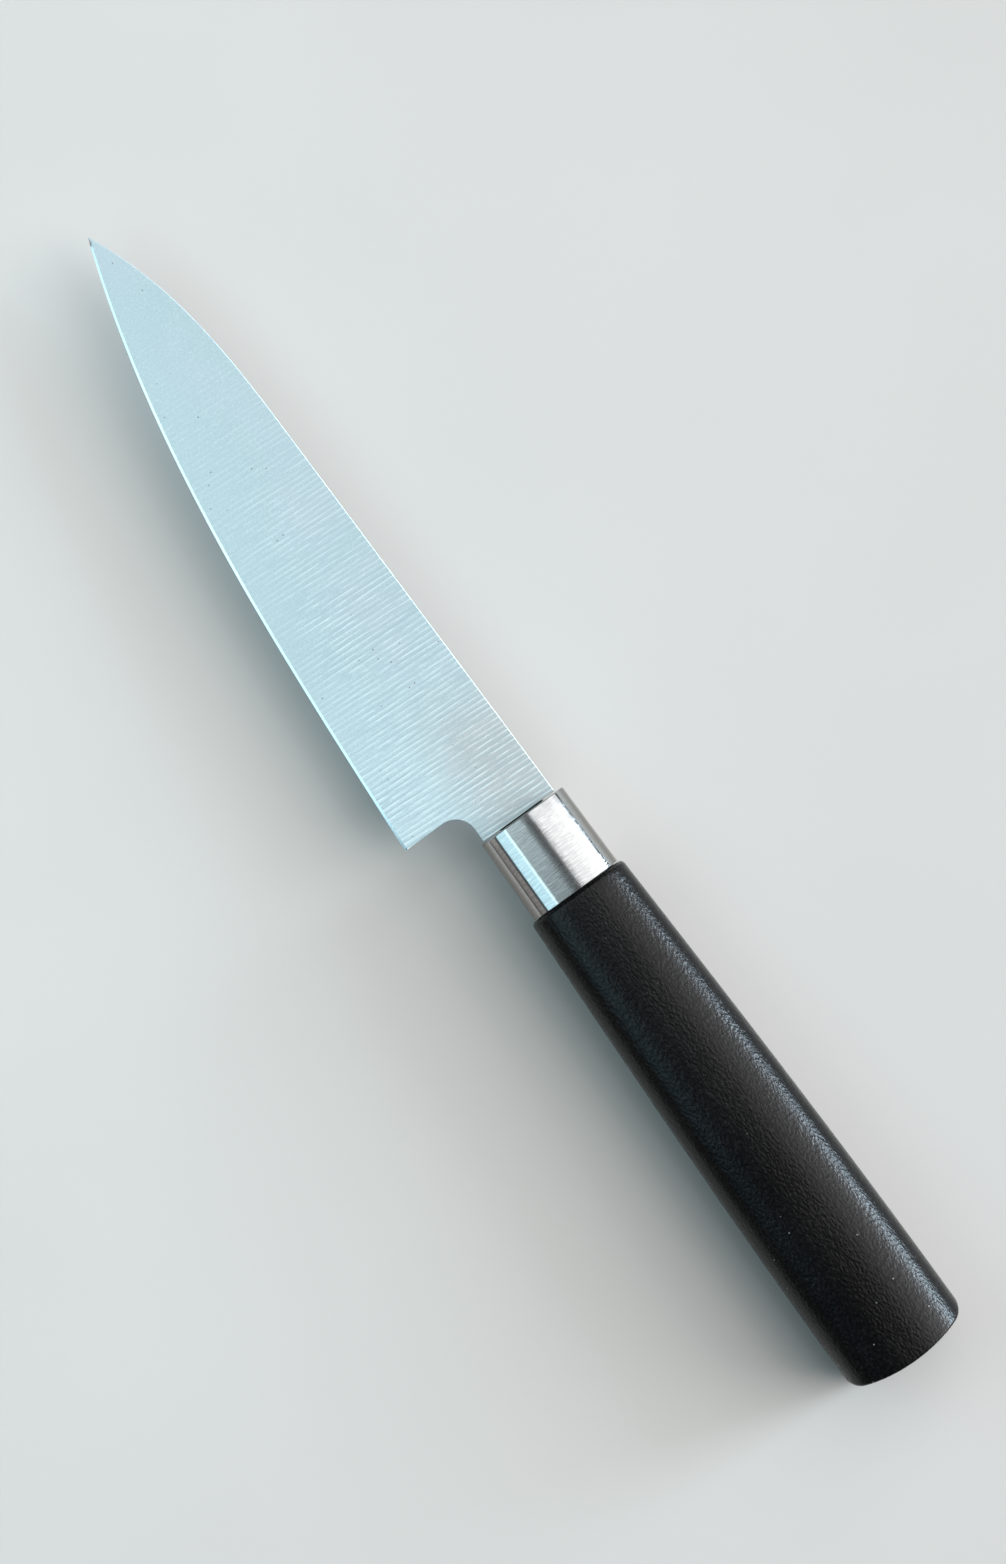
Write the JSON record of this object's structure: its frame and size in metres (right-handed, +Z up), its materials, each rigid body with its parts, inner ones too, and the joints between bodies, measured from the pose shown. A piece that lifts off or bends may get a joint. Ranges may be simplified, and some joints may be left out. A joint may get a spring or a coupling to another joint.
{
  "type": "petty knife",
  "caption": "Petty knife with a slim ground blade, a notched heel, a hidden tang, an oval steel ferrule and a finely grained black oval handle that swells to a crowned, upright butt.",
  "frame": {"origin": "middle of the knife's box, on the surface that the knife lies on", "axes": "+X from the tip to the butt, +Y from the cutting edge to the spine, +Z up, out of the blade's side that the picture shows"},
  "size_m": [0.2422, 0.0318, 0.0182],
  "materials": {
    "blade_steel": "satin, fine brush lines running from edge to spine, with a bright sharpened bevel",
    "ferrule_steel": "bright polish with fine brush lines running round it",
    "handle_black": "semi-matt with a fine moulded grain",
    "bedding_resin": "cured, slightly glossy, hidden inside"
  },
  "bodies": {
    "root": {"blade": "blade_steel", "ferrule": "ferrule_steel", "handle": "handle_black", "tang_bedding": "bedding_resin"}
  },
  "joints": []
}
